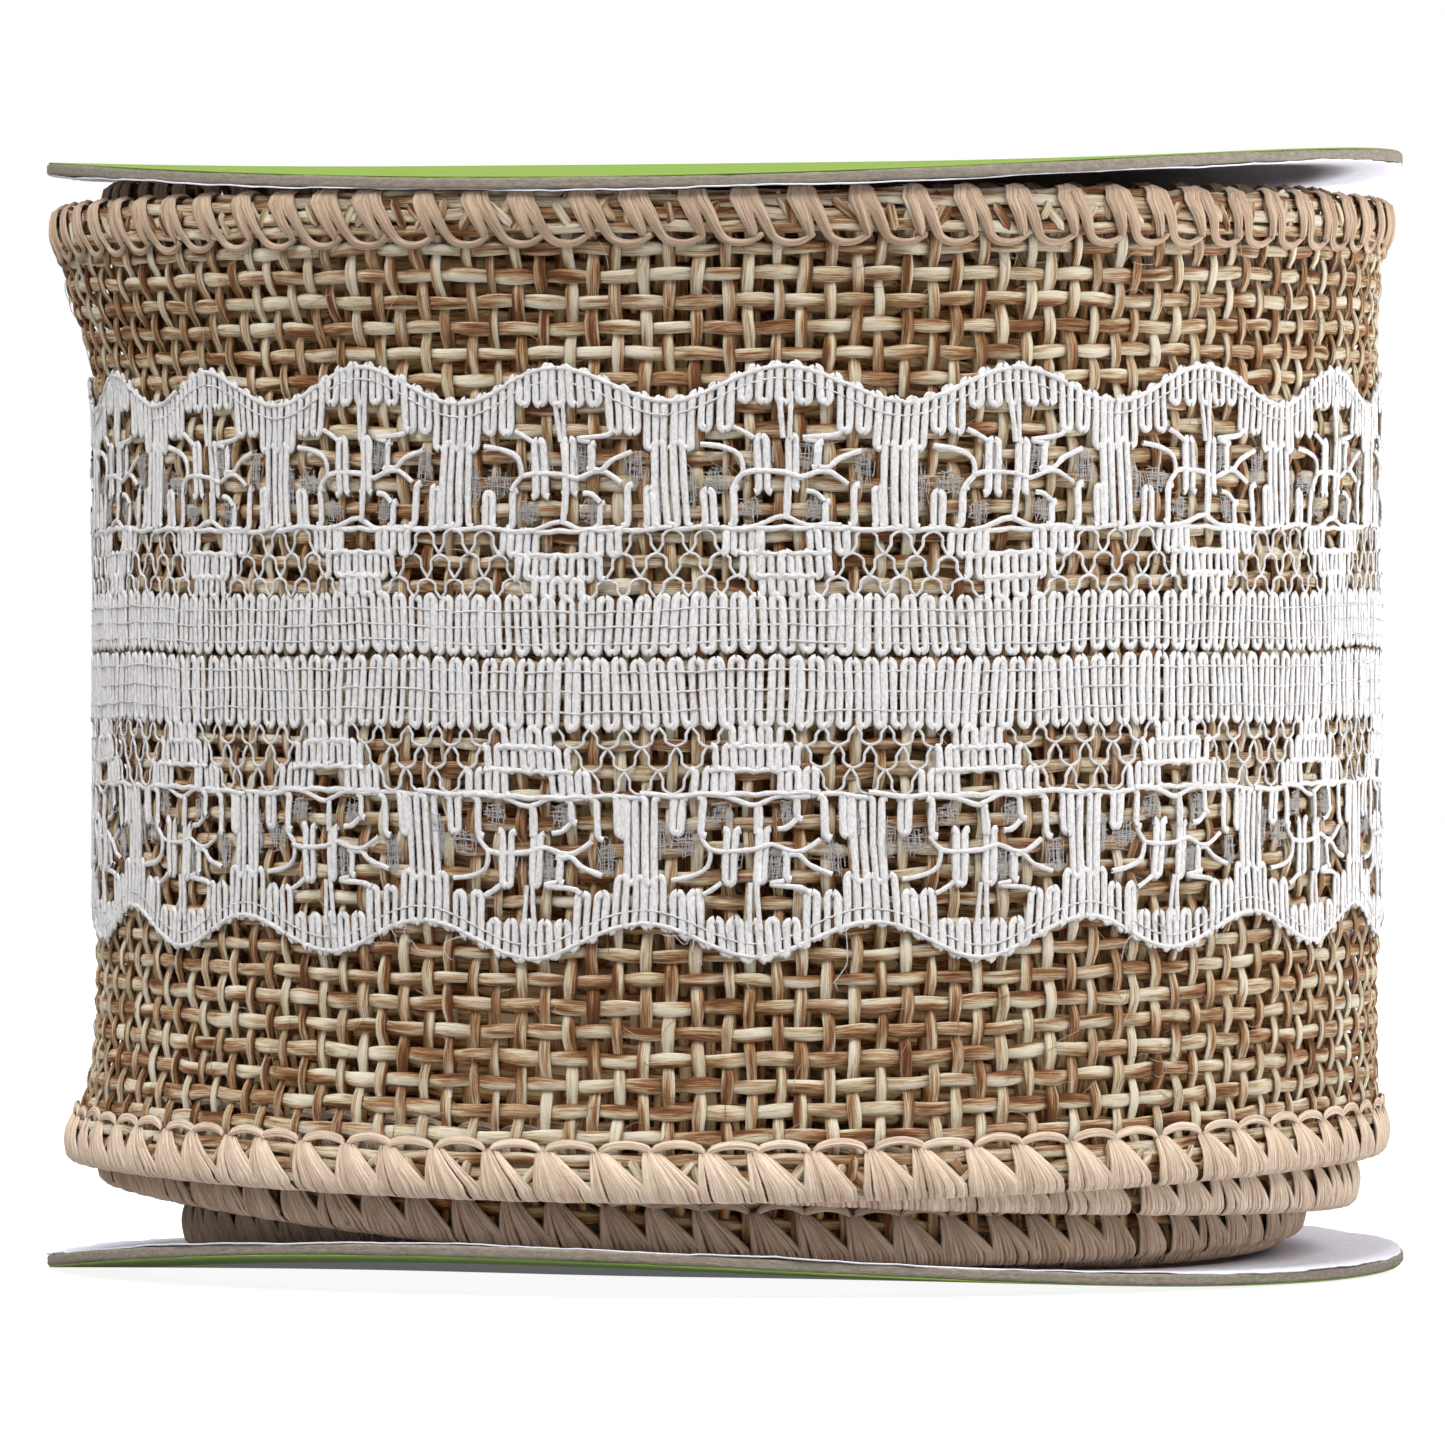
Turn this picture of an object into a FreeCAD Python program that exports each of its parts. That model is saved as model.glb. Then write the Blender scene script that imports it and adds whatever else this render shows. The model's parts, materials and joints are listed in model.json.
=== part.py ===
import FreeCAD, Part

import math
import os

# Ribbon spool: lace-trimmed burlap ribbon wound on a cardboard core between two board discs.
#
# Frame: millimetres, +Z up along the spool's axis, origin at the centre of the lower label's
# resting face. Angles are counted from the front (-Y) towards the right (+X), then the back.
#
# The ribbon is one continuous strip. It is wound as a spiral of half-turn arcs whose centres
# swap sides of the axis, so every face is a plane, a cylinder or a cone. The strip is kept as
# three stretches: the inner turns, the outer turn, and a tail of short segments hinged at
# their outer corners, which peels off the roll and ends straight.

# Discs: grey board with a white paper liner inside and a printed paper label outside
DISC_RADIUS = 44.5
BORE_RADIUS = 12.7
BOARD = 0.7
PAPER = 0.1
DISC = BOARD + 2 * PAPER

# Core tube, glued between the discs
CORE_RADIUS = 19.05
CORE_WALL = 1.5
CORE_LENGTH = 70.2
OVERALL_HEIGHT = CORE_LENGTH + 2 * DISC
GLUE_LEG = 1.4

# Ribbon cross-section. Radial offsets are from the middle of the hem's thickness.
RIBBON_WIDTH = 63.5
WEB_THICKNESS = 0.9
WEB_OFFSET = -0.3
HEM_THICKNESS = 1.0
HEM_HEIGHT = 4.1
HEM_SLOPE = 1.5
STITCH = 0.23
LACE_WIDTH = 37.0
LACE_RISE = 2.1
LACE_THICKNESS = 0.25
SEAM_GAP = 0.02

# Winding
PITCH = 1.6
INNER_HALF_TURNS = 26
SETTLED_HALF_TURNS = 21
CREEP_HALF_TURNS = 3
CREEP = 2.6
REST_GAP = 0.1
OUTER_LIFT = 6.2
SEAM_ANGLE = 95.0
TAIL_SEGMENTS = 5
TAIL_STEP = 20.0
CUT_GAP = 0.05

# Tape that holds the free end down, and tape that starts the ribbon on the core
TAPE = 0.1
TAPE_CLEARANCE = 0.05
END_TAPE_HEIGHT = 19.0
END_TAPE_ON_TAIL = 9.0
END_TAPE_PAST_TAIL = 10.0
START_TAPE_HEIGHT = 50.0
START_TAPE_ARC = 35.0

STITCH_FACE = HEM_THICKNESS / 2 + SEAM_GAP + STITCH
WEB_FACE = WEB_OFFSET + WEB_THICKNESS / 2
LACE_FACE = WEB_FACE + SEAM_GAP + LACE_THICKNESS
LACE_MIDDLE = RIBBON_WIDTH / 2 + LACE_RISE
FIRST_RADIUS = CORE_RADIUS + TAPE + TAPE_CLEARANCE + STITCH_FACE + PITCH / 4
TAIL_TURN = INNER_HALF_TURNS + 2
TIP_ANGLE = SEAM_ANGLE + TAIL_SEGMENTS * TAIL_STEP
ORIGIN = FreeCAD.Vector(0, 0, 0)
UP = FreeCAD.Vector(0, 0, 1)


def heading(angle):
    """The direction of an angle counted from the front towards the right."""
    turn = math.radians(angle - 90)
    return FreeCAD.Vector(math.cos(turn), math.sin(turn), 0)


def revolve(points, middle, angle):
    """Turns a closed outline about a vertical line through a point."""
    return Part.Face(Part.makePolygon(points + points[:1])).revolve(middle, UP, angle)


def ring(outer, inner, bottom, height):
    """A flat ring or a tube around the spool's axis."""
    foot = UP * bottom
    return Part.makeCylinder(outer, height, foot).cut(Part.makeCylinder(inner, height, foot))


def centre(half_turn):
    """The centre of a half-turn's arc."""
    side = -1 if half_turn % 2 == 0 else 1
    return heading(SEAM_ANGLE) * (side * PITCH / 4)


def radius(half_turn):
    """The radius of a half-turn's arc, at the middle of the hem's thickness."""
    return FIRST_RADIUS + half_turn * PITCH / 2


def first_angle(half_turn):
    """Where a half-turn starts: even ones at the seam, odd ones opposite it."""
    return SEAM_ANGLE if half_turn % 2 == 0 else SEAM_ANGLE - 180


def foot_height(half_turn):
    """How high an inner half-turn's lower edge stands. The last few have crept up the roll."""
    crept = (half_turn - SETTLED_HALF_TURNS) / CREEP_HALF_TURNS
    return DISC + REST_GAP + CREEP * min(1, max(0, crept))


def burlap_section():
    """The woven strip: a web set in from two folded hems."""
    hem = HEM_THICKNESS / 2
    end = STITCH + SEAM_GAP
    slope = HEM_HEIGHT + HEM_SLOPE
    outside = [(hem, end), (hem, HEM_HEIGHT), (WEB_FACE, slope)]
    inside = [(WEB_FACE - WEB_THICKNESS, slope), (-hem, HEM_HEIGHT), (-hem, end)]
    outside += [(r, RIBBON_WIDTH - z) for r, z in reversed(outside)]
    inside = [(r, RIBBON_WIDTH - z) for r, z in reversed(inside)] + inside
    return outside + inside


def stitching_section(upper):
    """The sleeve of overlock thread around a hem, open towards the web."""
    hem = HEM_THICKNESS / 2 + SEAM_GAP
    mouth = HEM_HEIGHT - 0.1
    lower = [
        (STITCH_FACE, mouth),
        (STITCH_FACE, 0),
        (-STITCH_FACE, 0),
        (-STITCH_FACE, mouth),
        (-hem, mouth),
        (-hem, STITCH),
        (hem, STITCH),
        (hem, mouth),
    ]
    return [(r, RIBBON_WIDTH - z) for r, z in lower] if upper else lower


def strip_section(inner, outer, width):
    """A thin rectangle centred on the lace, used for the lace and the end tape."""
    low, high = LACE_MIDDLE - width / 2, LACE_MIDDLE + width / 2
    return [(inner, low), (outer, low), (outer, high), (inner, high)]


def sweep(section, half_turn, start, angle, lift):
    """Revolves a section through part of a half-turn."""
    middle = centre(half_turn)
    reach = radius(half_turn)
    points = [middle + heading(start) * (reach + r) + UP * (lift + z) for r, z in section]
    return revolve(points, middle, angle)


def cut_gap(half_turn):
    """The angle of the narrow gap between two stretches of the strip."""
    return math.degrees(CUT_GAP / radius(half_turn))


def inner_turns(section):
    """Every inner turn as one continuous solid."""
    last = INNER_HALF_TURNS
    pieces = [sweep(section, j, first_angle(j), 180, foot_height(j)) for j in range(last)]
    last_arc = TIP_ANGLE - SEAM_ANGLE - cut_gap(last)
    pieces.append(sweep(section, last, SEAM_ANGLE, last_arc, foot_height(last)))
    return pieces[0].fuse(pieces[1:]).removeSplitter()


def outer_turn(section):
    """The outer turn, from under the free end round to the tail's first hinge."""
    hidden_arc = 180 - (TIP_ANGLE - SEAM_ANGLE)
    start = sweep(section, TAIL_TURN - 2, TIP_ANGLE, hidden_arc, OUTER_LIFT)
    shown_arc = 180 - cut_gap(TAIL_TURN - 1)
    rest = sweep(section, TAIL_TURN - 1, SEAM_ANGLE - 180, shown_arc, OUTER_LIFT)
    return start.fuse(rest).removeSplitter()


def tail_segment(section, number):
    """One segment of the tail, counted from 0 at the first hinge."""
    start = SEAM_ANGLE + number * TAIL_STEP
    return sweep(section, TAIL_TURN, start, TAIL_STEP - cut_gap(TAIL_TURN), OUTER_LIFT)


def end_tape():
    """Tape across the free end that steps down onto the turn underneath."""
    inner = LACE_FACE + SEAM_GAP
    outer = inner + TAPE
    wall_arc = math.degrees(TAPE / radius(TAIL_TURN))
    on_tail = strip_section(inner, outer, END_TAPE_HEIGHT)
    step = strip_section(inner - PITCH, outer, END_TAPE_HEIGHT)
    on_turn = strip_section(inner - PITCH, outer - PITCH, END_TAPE_HEIGHT)
    tail_arc = END_TAPE_ON_TAIL + wall_arc
    start = TIP_ANGLE - END_TAPE_ON_TAIL
    pieces = [
        sweep(on_tail, TAIL_TURN, start, tail_arc, OUTER_LIFT),
        sweep(step, TAIL_TURN, TIP_ANGLE, wall_arc, OUTER_LIFT),
        sweep(on_turn, TAIL_TURN, TIP_ANGLE, END_TAPE_PAST_TAIL, OUTER_LIFT),
    ]
    return pieces[0].fuse(pieces[1:]).removeSplitter()


def start_tape():
    """Tape on the core that holds the ribbon's inner end."""
    low = (OVERALL_HEIGHT - START_TAPE_HEIGHT) / 2
    inner = CORE_RADIUS + SEAM_GAP
    outer = inner + TAPE
    high = low + START_TAPE_HEIGHT
    corners = [(inner, low), (outer, low), (outer, high), (inner, high)]
    points = [heading(SEAM_ANGLE) * r + UP * z for r, z in corners]
    return revolve(points, ORIGIN, START_TAPE_ARC)


def glue_bead(disc_face, rise):
    """A bead of hot-melt in the corner between the core tube's bore and a disc."""
    wall = CORE_RADIUS - CORE_WALL - SEAM_GAP
    face = disc_face + math.copysign(SEAM_GAP, rise)
    corners = [(wall, face), (wall - GLUE_LEG, face), (wall, face + rise)]
    points = [heading(0) * r + UP * z for r, z in corners]
    return revolve(points, ORIGIN, 360)


def disc_nodes():
    """Each disc's label, board and liner, from the outside in."""
    nodes = {}
    depth = 0
    for layer, thickness in (("label", PAPER), ("board", BOARD), ("liner", PAPER)):
        upper = OVERALL_HEIGHT - depth - thickness
        nodes["lower_disc_" + layer] = ring(DISC_RADIUS, BORE_RADIUS, depth, thickness)
        nodes["upper_disc_" + layer] = ring(DISC_RADIUS, BORE_RADIUS, upper, thickness)
        depth += thickness
    return nodes


def core_nodes():
    """The tube between the discs, its glue beads and the tape that starts the ribbon."""
    return {
        "core_tube": ring(CORE_RADIUS, CORE_RADIUS - CORE_WALL, DISC, CORE_LENGTH),
        "lower_glue_bead": glue_bead(DISC, GLUE_LEG),
        "upper_glue_bead": glue_bead(DISC + CORE_LENGTH, -GLUE_LEG),
        "start_tape": start_tape(),
    }


def ribbon_nodes():
    """The ribbon's burlap, lace and hem stitching, for each stretch of the winding."""
    sections = {
        "burlap": burlap_section(),
        "lace": strip_section(WEB_FACE + SEAM_GAP, LACE_FACE, LACE_WIDTH),
        "lower_stitching": stitching_section(upper=False),
        "upper_stitching": stitching_section(upper=True),
    }
    nodes = {}
    for layer, section in sections.items():
        nodes["inner_turns_" + layer] = inner_turns(section)
        nodes["outer_turn_" + layer] = outer_turn(section)
        for number in range(TAIL_SEGMENTS):
            nodes[f"tail_{number + 1}_{layer}"] = tail_segment(section, number)
    nodes["end_tape"] = end_tape()
    return nodes


def main():
    os.makedirs("parts", exist_ok=True)
    nodes = {**disc_nodes(), **core_nodes(), **ribbon_nodes()}
    for name, shape in nodes.items():
        if not shape.isValid() or len(shape.Solids) != 1:
            raise ValueError(f"{name} isn't one valid solid")
        shape.exportStep(f"parts/{name}.step")


main()
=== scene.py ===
import json
import math

import bpy
import numpy as np
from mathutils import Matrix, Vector


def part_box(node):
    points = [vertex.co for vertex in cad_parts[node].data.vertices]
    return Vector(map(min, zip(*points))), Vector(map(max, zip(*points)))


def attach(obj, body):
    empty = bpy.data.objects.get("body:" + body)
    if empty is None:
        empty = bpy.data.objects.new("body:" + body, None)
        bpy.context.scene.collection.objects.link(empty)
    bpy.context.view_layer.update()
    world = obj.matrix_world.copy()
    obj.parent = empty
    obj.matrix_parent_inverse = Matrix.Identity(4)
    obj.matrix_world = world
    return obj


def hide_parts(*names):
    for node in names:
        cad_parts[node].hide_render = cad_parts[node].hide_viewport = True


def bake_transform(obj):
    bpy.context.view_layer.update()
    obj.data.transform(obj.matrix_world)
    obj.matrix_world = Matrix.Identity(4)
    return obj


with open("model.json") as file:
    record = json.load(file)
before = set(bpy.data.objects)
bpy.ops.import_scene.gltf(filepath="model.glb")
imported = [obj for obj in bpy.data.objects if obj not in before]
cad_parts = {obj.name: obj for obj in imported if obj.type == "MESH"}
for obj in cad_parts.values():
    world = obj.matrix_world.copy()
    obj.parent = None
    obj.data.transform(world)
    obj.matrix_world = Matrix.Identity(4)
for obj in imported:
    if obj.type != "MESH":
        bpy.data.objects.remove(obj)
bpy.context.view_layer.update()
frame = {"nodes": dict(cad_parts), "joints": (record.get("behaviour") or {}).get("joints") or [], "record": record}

# Lengths below are in millimetres unless a name says otherwise. Angles are in degrees, counted
# from the front (-Y) towards the right (+X), then the back.
#
# Ribbon pieces are drawn flat first: x runs along the strip, y across it from its lower edge,
# and z out of its face. wrap() then winds them onto the roll.
MM = 0.001


def in_mm(*angles):
    """Places along the strip, in millimetres."""
    return [angle * MM_PER_DEGREE for angle in angles]


def box_mm(node):
    """Lowest and highest corner of a CAD node."""
    low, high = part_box(node)
    return np.array(low) / MM, np.array(high) / MM


def hinge_angle(joint):
    """The direction a hinge stands in, seen from the spool's axis."""
    x, y, _ = joint["pos_m"]
    return math.degrees(math.atan2(x, -y)) % 360


# Sizes taken from the frame
BOARD_LOW, BOARD_HIGH = box_mm("lower_disc_board")
DISC_RADIUS = BOARD_HIGH[0]
PAPER = BOARD_LOW[2]
BOARD = BOARD_HIGH[2] - BOARD_LOW[2]
DISC = BOARD + 2 * PAPER
OVERALL_HEIGHT = box_mm("upper_disc_label")[1][2]
BORE_RADIUS = frame["record"]["mounts"][0]["dims"]["r_mm"]
ROLL_RADIUS = (box_mm("outer_turn_lace")[1][0] - box_mm("outer_turn_lace")[0][0]) / 2
STRIP_FOOT = box_mm("outer_turn_lower_stitching")[0][2]
STRIP_WIDTH = box_mm("outer_turn_upper_stitching")[1][2] - STRIP_FOOT
LACE_MIDDLE = sum(box_mm("outer_turn_lace"))[2] / 2 - STRIP_FOOT + 0.45  # sewn on a little high
HINGES = [hinge_angle(j) for j in frame["joints"] if j["type"] == "hinge"]
TAIL_STEP = HINGES[1] - HINGES[0]
TAIL_BODIES = [j["child"] for j in frame["joints"] if j["type"] == "hinge"]
TIP_ANGLE = HINGES[0] + TAIL_STEP * len(HINGES)
MM_PER_DEGREE = ROLL_RADIUS * math.radians(1)

# How the discs' rims have bent, how high above the middle each turn lies and how deep in the
# roll, how much of its width is left upright, and how its edges flare: a level, and then a cosine
# and a sine for one, two and three waves around the spool. The outer turn has crept up, the third
# one shows under it, and the leaning one touches the upper disc.
UPPER_RIM = (-0.15, (-0.78, 0.27), (-1.08, 0.44))
LOWER_RIM = (0.85, (0.42, 0.0), (0.6, -0.76), (0.0, -0.25))
OUTER_HEIGHT = (2.09, (0.0, 0.23), (-0.49, 0.0))
SECOND_HEIGHT = (1.65, (0.0, -2.2))
THIRD_HEIGHT = (-1.5, (0.0, -1.7), (-0.77, 0.0))
LEANING_HEIGHT = (2.6, (0.0, 0.0), (-0.8, 0.0))
THIRD_DEPTH = (3.65, (0.0, 1.8))
SETTLED_DEPTH = 6.6
UPRIGHT_SHARE = (0.99, (0.0, 0.0), (0.008, 0.0))
UPPER_FLARE = (1.5, (0.0, -0.95))
UPPER_FLARE_WIDTH = (5.8, (0.0, -1.8))
LOWER_FLARE = (0.85, (0.0, -0.75))
LOWER_FLARE_WIDTH = 4.6
FLARE_SOFTNESS = 1.7

# Winding
PITCH = 1.6
WEB_INSET = 0.5
SPIRAL_START = 15.0
OFF_CENTRE = 0.4
SECOND_SLACK = 0.35
JOINING_ANGLE = 45.0
DISC_CLEARANCE = 0.03
RIGID_SECTORS = 5

# The pack of turns further in. It steps in below its foot height, where less cloth shows.
PACK_DEPTH = 4.4
PACK_FOOT_DEPTH = 9.3
PACK_FOOT_HEIGHT = 12.0

# Weave: the spacing of its yarns, how far they drift, their rise and fall, and their width and
# thickness
COLUMN = 1.64
ROW = 1.635
FIRST_ROW = 0.75
EDGE = 0.35
COLUMN_DRIFT = 0.22
ROW_DRIFT = 0.17
CRIMP = 0.16
COLUMN_YARN = (0.72, 0.33)
ROW_YARN = (0.84, 0.36)

# Hem stitching: the hem's height and half its thickness, the spacing of the knots, and how far a
# fan of threads runs from its knot around the edge
HEM = 3.1
HEM_HALF = 0.8
HEM_FACE = HEM - HEM_HALF
STITCH = 3.4
FAN_REACH = 6.6

# The line a hook of thread follows: its way along from the knot, and around the hem
HOOK_LINE = (
    (-0.95, 6.4),
    (-0.75, HEM_FACE + 1.8),
    (-0.35, HEM_FACE),
    (0.15, 0.62 * HEM_FACE),
    (0.55, 0.25 * HEM_FACE),
    (1.05, -0.2),
    (1.8, -0.48),
    (2.6, -0.42),
    (3.2, -0.1),
    (3.45, 0.1),
)

# Lace: its pattern repeats after a period, filled columns are threads that run up and down in
# legs, and heights are counted from the middle line. Its two halves start at different phases.
PERIOD = 19.25 * MM_PER_DEGREE
LEG = PERIOD / 24
BAND = 3.6
NET_ROWS = (BAND, 4.8, 6.24, 7.75)
UPPER_PHASE = 6.3 * MM_PER_DEGREE
LOWER_PHASE = 2.5 * MM_PER_DEGREE
LOWER_EXTRA = 0.78
LACE_LIFT = 0.46

# Patches of hair-fine net in each flower: place along and up, half width and half height
VEIL_PATCHES = (
    (-1.35, 12.0, 0.5, 1.1),
    (1.3, 12.2, 0.45, 0.9),
    (-4.2, 10.6, 0.8, 0.7),
    (2.0, 9.0, 0.5, 0.7),
    (4.9, 11.6, 0.5, 1.0),
    (-2.2, 8.9, 0.6, 0.6),
    (6.3, 9.6, 0.4, 0.9),
    (-6.0, 10.4, 0.5, 1.2),
)

# End tape
TAPE_HEIGHT = 19.0
TAPE_BEFORE_TIP = 9.0
TAPE_PAST_TIP = 10.0
TAPE_LIFT = 0.68
TAPE_THICKNESS = 0.08

# Stage, in metres and watts
AIM = (0, 0, OVERALL_HEIGHT / 2 * MM)
LAMPS = (
    ("key_light", (-0.2, -0.6, 0.95), AIM, 0.5, 12.0),
    ("right_light", (0.75, -0.35, 0.75), AIM, 0.6, 8.3),
    ("left_light", (-0.8, -0.3, 0.75), AIM, 0.6, 3.6),
    ("back_light", (0.25, 0.95, 0.3), AIM, 0.5, 5.0),
    ("right_reflector", (0.12, -0.02, 0.002), (0.11, -0.02, 0.1), 0.1, 0.35),
)
CAMERA_DISTANCE = 0.8
CAMERA_SIDESTEP = -0.00016
CAMERA_SHIFT = -0.0017
LENS = 303
FLOOR_SIZE = 8
FLOOR_DROP = 0.02 * MM


# ---- winding


def waves(angle, level, *pairs):
    """A level plus a cosine and a sine for each number of waves around the spool."""
    total = level + 0 * angle
    for number, (cosine, sine) in enumerate(pairs, start=1):
        a = number * np.radians(angle)
        total = total + cosine * np.cos(a) + sine * np.sin(a)
    return total


def even(value):
    """The same value everywhere, as for a straight edge."""
    return lambda place: value + 0 * place


def disc_warp(angle, radius, upper):
    """How far a disc's face has bent upwards. It grows from the bore to the rim."""
    reach = np.clip((radius - BORE_RADIUS) / (DISC_RADIUS - BORE_RADIUS), 0, 1.1)
    return waves(angle, *(UPPER_RIM if upper else LOWER_RIM)) * reach**1.4


def disc_top(angle, radius):
    """The height of the lower disc's inner face."""
    return DISC + np.maximum(disc_warp(angle, radius, upper=False), 0)


def web_radius(angle):
    """The middle of the web's thickness along the outer turn and the tail."""
    spiral = PITCH * (angle - SPIRAL_START) / 360
    return ROLL_RADIUS - WEB_INSET + spiral + OFF_CENTRE * np.sin(np.radians(angle))


def middle_line(turn):
    """The height of a turn's middle line around the spool."""
    return lambda angle: OVERALL_HEIGHT / 2 + waves(angle, *turn)


outer_middle = middle_line(OUTER_HEIGHT)


def nearly_out(angle):
    """Goes from 0 to 1 over the last part of the second turn, where it becomes the outer turn."""
    share = np.clip((angle - TIP_ANGLE + JOINING_ANGLE) / JOINING_ANGLE, 0, 1)
    return share * share * (3 - 2 * share)


def second_middle(angle):
    """The second turn's middle line. It climbs to the left, and then joins the outer turn."""
    climbing = middle_line(SECOND_HEIGHT)(angle)
    return climbing + nearly_out(angle) * (outer_middle(angle) - climbing)


def settled_middle(angle):
    """The middle line of a turn that rests on the lower disc."""
    return STRIP_WIDTH / 2 + disc_top(angle, ROLL_RADIUS - 4 * PITCH)


def second_depth(angle):
    """How deep the second turn lies."""
    return PITCH + SECOND_SLACK * (1 - nearly_out(angle))


def third_depth(angle):
    """How deep the third turn lies: loose on the left and tight on the right."""
    return waves(angle, *THIRD_DEPTH)


def edge_lift(from_edge, height, width):
    """A soft rise towards an edge, down to half of its height a width away."""
    return height / (1 + np.exp((from_edge - width) / FLARE_SOFTNESS))


def flare(angle, across, depth):
    """How far each edge of the strip stands out from the roll. The left side stands out most."""
    upper_height, upper_width = waves(angle, *UPPER_FLARE), waves(angle, *UPPER_FLARE_WIDTH)
    upper = edge_lift(STRIP_WIDTH - across, upper_height, upper_width)
    lower = edge_lift(across, waves(angle, *LOWER_FLARE), LOWER_FLARE_WIDTH)
    upper_share = np.clip(1 - depth / (2 * PITCH), 0, 1)
    lower_share = np.clip(1 - depth / (5 * PITCH), 0, 1)
    return upper * upper_share + lower * lower_share


def from_axis(angle, radius, height):
    """Points at an angle, a radius and a height around the spool's axis."""
    a = np.radians(angle)
    return np.stack(
        np.broadcast_arrays(radius * np.sin(a), -radius * np.cos(a), height), axis=-1
    )


def wrap(flat, middle, depth):
    """Winds flat points onto the roll, a given depth under the outer turn."""
    angle = flat[:, 0] / MM_PER_DEGREE
    across = flat[:, 1]
    radius = web_radius(angle) - depth + flare(angle, across, depth) + flat[:, 2]
    upright = (across - STRIP_WIDTH / 2) * waves(angle, *UPRIGHT_SHARE)
    height = middle(angle) + upright
    lowest = disc_top(angle, radius) + DISC_CLEARANCE
    highest = OVERALL_HEIGHT - DISC + disc_warp(angle, radius, upper=True) - DISC_CLEARANCE
    return from_axis(angle, radius, np.clip(height, lowest, highest))


# ---- tubes and meshes


def wander(t, rng, count, reach, lengths=(6.0, 15.0, 37.0)):
    """Smooth random drift along each of a number of threads."""
    total = 0
    for length in lengths:
        phase = rng.uniform(0, 2 * np.pi, (count, 1))
        stretch = rng.uniform(0.8, 1.25, (count, 1))
        total = total + np.sin(2 * np.pi * t / (length * stretch) + phase)
    return reach * total / len(lengths)


def grid_faces(rows, columns, rows_join, columns_join):
    """Quads between the points of a grid, which may join up with itself either way."""
    i = np.arange(rows if rows_join else rows - 1)
    j = np.arange(columns if columns_join else columns - 1)
    i, j = np.meshgrid(i, j, indexing="ij")
    i2, j2 = (i + 1) % rows, (j + 1) % columns
    corners = (i * columns + j, i2 * columns + j, i2 * columns + j2, i * columns + j2)
    return np.stack(corners, axis=-1).reshape(-1, 4)


def side_and_lift(paths, normals):
    """Unit vectors sideways from each path and out of the strip's face, square to the path."""
    tangent = np.gradient(paths, axis=1)
    side = np.cross(tangent, np.broadcast_to(normals, paths.shape))
    side /= np.linalg.norm(side, axis=2, keepdims=True)
    lift = np.cross(side, tangent)
    lift /= np.linalg.norm(lift, axis=2, keepdims=True)
    return side, lift


def tubes(paths, width, thickness, sides, rng, normals=(0.0, 0.0, 1.0), closed_ends=True, groove=0.0):
    """Flattened tubes along a batch of paths, shaped (threads, points, 3).

    The thread values are the length along the tube, the place across it and a seed.
    """
    count, length, _ = paths.shape
    steps = np.linalg.norm(np.diff(paths, axis=1), axis=2)
    along = np.pad(np.cumsum(steps, axis=1), ((0, 0), (1, 0)))
    side, lift = side_and_lift(paths, normals)
    swell = np.ones(length)
    if closed_ends:
        swell[[0, -1]] = 0.15
    half_width = np.broadcast_to(width, (count, length)) / 2 * swell
    half_thickness = np.broadcast_to(thickness, (count, length)) / 2 * swell
    turn = 2 * np.pi * np.arange(sides) / sides
    across, depth = np.cos(turn), np.sin(turn)
    depth = depth * (1 - groove * (0.5 + 0.5 * np.cos(2 * np.pi * across)))
    points = (
        paths[:, :, None]
        + side[:, :, None] * (half_width[:, :, None] * across)[..., None]
        + lift[:, :, None] * (half_thickness[:, :, None] * depth)[..., None]
    )
    seed = rng.uniform(0, 1, (count, 1, 1))
    start = rng.uniform(0, 400, (count, 1, 1))
    values = (along[:, :, None] + start, across, seed)
    thread = np.stack([np.broadcast_to(value, points.shape[:3]) for value in values], axis=-1)
    outwards = grid_faces(length, sides, False, True)[:, [0, 3, 2, 1]]
    faces = np.arange(count)[:, None, None] * length * sides + outwards
    return {
        "points": points.reshape(-1, 3),
        "thread": thread.reshape(-1, 3),
        "faces": faces.reshape(-1, 4),
    }


def merge(parts):
    """Several parts as one."""
    offsets = np.cumsum([0] + [len(p["points"]) for p in parts[:-1]])
    merged = {key: np.concatenate([p[key] for p in parts]) for key in ("points", "thread")}
    merged["faces"] = np.concatenate([p["faces"] + o for p, o in zip(parts, offsets)])
    return merged


def keep_faces(part, chosen):
    """The part of a mesh that uses the chosen faces."""
    used, index = np.unique(part["faces"][chosen], return_inverse=True)
    return {
        "points": part["points"][used],
        "thread": part["thread"][used],
        "faces": index.reshape(-1, 4),
    }


def make_object(name, points, faces, material, thread=None):
    """A smooth-shaded mesh object from millimetre points."""
    mesh = bpy.data.meshes.new(name)
    mesh.vertices.add(len(points))
    mesh.vertices.foreach_set("co", (points * MM).astype(np.float32).ravel())
    mesh.loops.add(faces.size)
    mesh.loops.foreach_set("vertex_index", faces.astype(np.int32).ravel())
    mesh.polygons.add(len(faces))
    mesh.polygons.foreach_set("loop_start", np.arange(0, faces.size, faces.shape[1], dtype=np.int32))
    mesh.polygons.foreach_set("use_smooth", np.ones(len(faces), dtype=bool))
    if thread is not None:
        layer = mesh.attributes.new("thread", "FLOAT_VECTOR", "POINT")
        layer.data.foreach_set("vector", thread.astype(np.float32).ravel())
    mesh.update(calc_edges=True)
    mesh.validate()
    mesh.materials.append(material)
    made = bpy.data.objects.new(name, mesh)
    bpy.context.scene.collection.objects.link(made)
    return made


def tie(piece, body, node):
    """Fixes a piece to a body, in place of a CAD node."""
    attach(piece, body)
    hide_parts(node)


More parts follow.
